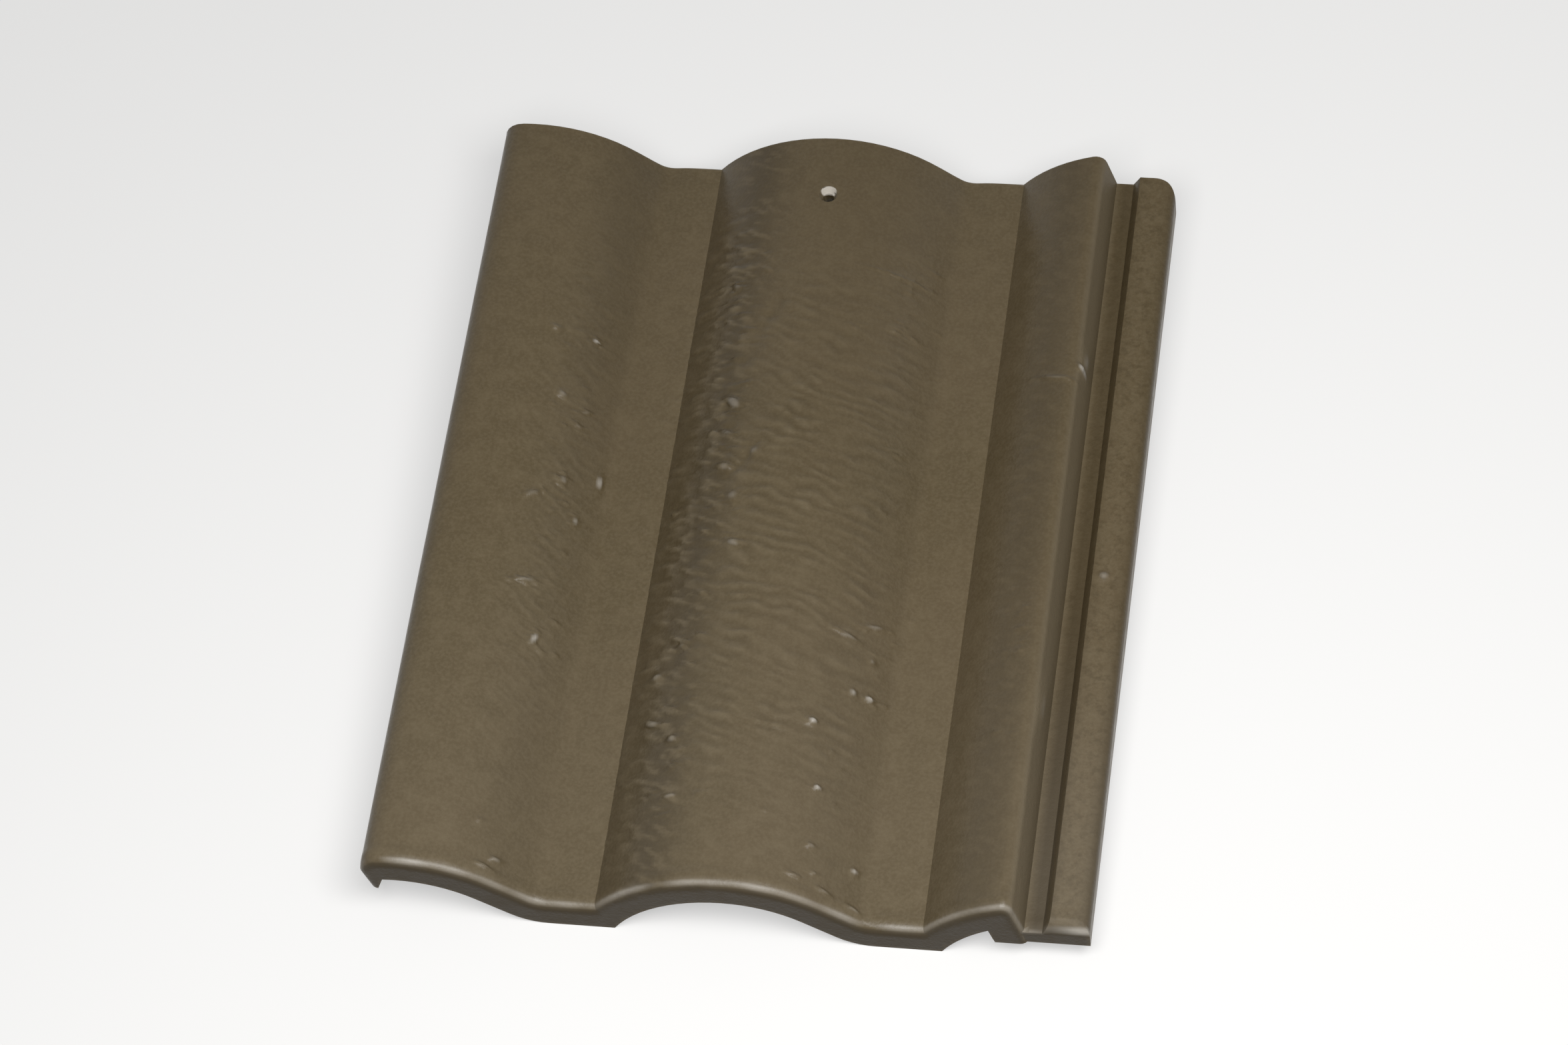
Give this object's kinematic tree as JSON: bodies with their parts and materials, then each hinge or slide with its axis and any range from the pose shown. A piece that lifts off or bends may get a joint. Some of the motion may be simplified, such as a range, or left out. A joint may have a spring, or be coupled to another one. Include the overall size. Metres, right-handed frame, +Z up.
{
  "type": "concrete roof tile",
  "caption": "Interlocking concrete roof tile with a rolled profile, rounded nose, side flange, hanging nibs and a nail hole.",
  "frame": {"origin": "centre of the tile's plan, on the level floor that the nose's lower edge and the nibs stand on", "axes": "+X across the cover width towards the side flange, +Y from the nose to the head, +Z up; at rest the tile's face slopes up by 1.74 degrees towards the head"},
  "size_m": [0.3314, 0.421, 0.0577],
  "materials": {
    "coated_concrete": "acrylic-coated concrete, umber brown, satin"
  },
  "bodies": {
    "root": {"roof_tile": "coated_concrete"}
  },
  "joints": []
}
